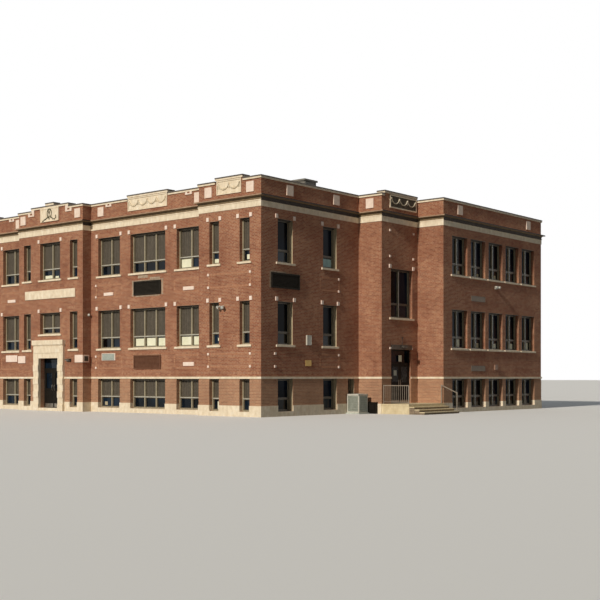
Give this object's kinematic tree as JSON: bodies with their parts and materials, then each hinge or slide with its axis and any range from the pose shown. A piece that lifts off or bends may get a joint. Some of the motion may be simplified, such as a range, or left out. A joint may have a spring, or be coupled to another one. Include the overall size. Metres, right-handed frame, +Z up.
{
  "type": "brick school building",
  "caption": "Brick school building with raised ground storey, stone trim, flat roof, stair towers and a hinged side door.",
  "frame": {"origin": "on the level ground below the entrance centre, at the front face of the pavilions", "axes": "+X along the front to the right, +Y towards the back, +Z up"},
  "size_m": [39.38, 22.0141, 11.7],
  "materials": {
    "brick": "red-brown fired brick, rough",
    "concrete": "cast concrete",
    "roof_felt": "grey mineral roofing",
    "limestone": "dressed pale limestone",
    "ledge_stone": "weathered brown stone",
    "cap_metal": "brown coated sheet",
    "window_frame": "tan coated aluminium",
    "infill_panel": "dark olive-brown panel",
    "window_glass": "dark window glass",
    "dark_metal": "dark brown-black paint",
    "door_paint": "near-black door paint",
    "condenser_paint": "pale grey-green enamel",
    "fitting_paint": "off-white enamel"
  },
  "bodies": {
    "building": {"entrance_front_wall": "brick", "recess_walls": "brick", "corner_front_walls": "brick", "side_walls": "brick", "return_walls": "brick", "tower_door_piers": "brick", "tower_upper_walls": "brick", "rear_block_side_walls": "brick", "back_wall": "brick", "ground_slabs": "concrete", "upper_floor_slabs": "concrete", "roof_slabs": "roof_felt", "stair_hall_floors": "concrete", "plinth_stones": "limestone", "belt_course": "limestone", "frieze_band": "limestone", "cornice_ledge": "ledge_stone", "raised_parapets": "brick", "parapet_coping": "limestone", "cap_flashing": "cap_metal", "parapet_tablets": "limestone", "relief_panels": "limestone", "entrance_crest": "limestone", "name_tablet": "limestone", "label_blocks": "limestone", "spandrel_stones": "limestone", "window_sills": "limestone", "front_window_frames": "window_frame", "side_window_frames": "window_frame", "back_window_frames": "window_frame", "window_panels": "infill_panel", "window_glass": "window_glass", "wall_louvres": "dark_metal", "entrance_surround": "limestone", "entrance_doors": "door_paint", "entrance_step": "limestone", "side_door_frames": "door_paint", "left_side_doors": "door_paint", "side_landings": "concrete", "landing_steps": "concrete", "landing_railings": "dark_metal", "condenser_unit": "condenser_paint", "electrical_box": "dark_metal", "wall_lamps": "fitting_paint", "wall_plates": "fitting_paint", "roof_hatch": "dark_metal"},
    "door_leaf_a": {"side_door_leaf_a": "door_paint"},
    "door_leaf_b": {"side_door_leaf_b": "door_paint"}
  },
  "joints": [
    {"name": "side_door_a", "type": "hinge", "parent": "building", "child": "door_leaf_a", "pos_m": [17.043, 8.403, 0.5], "axis": [0, 0, -1], "range_deg": [0, 90]},
    {"name": "side_door_b", "type": "hinge", "parent": "building", "child": "door_leaf_b", "pos_m": [17.043, 10.057, 0.5], "axis": [0, 0, 1], "range_deg": [0, 90]}
  ]
}
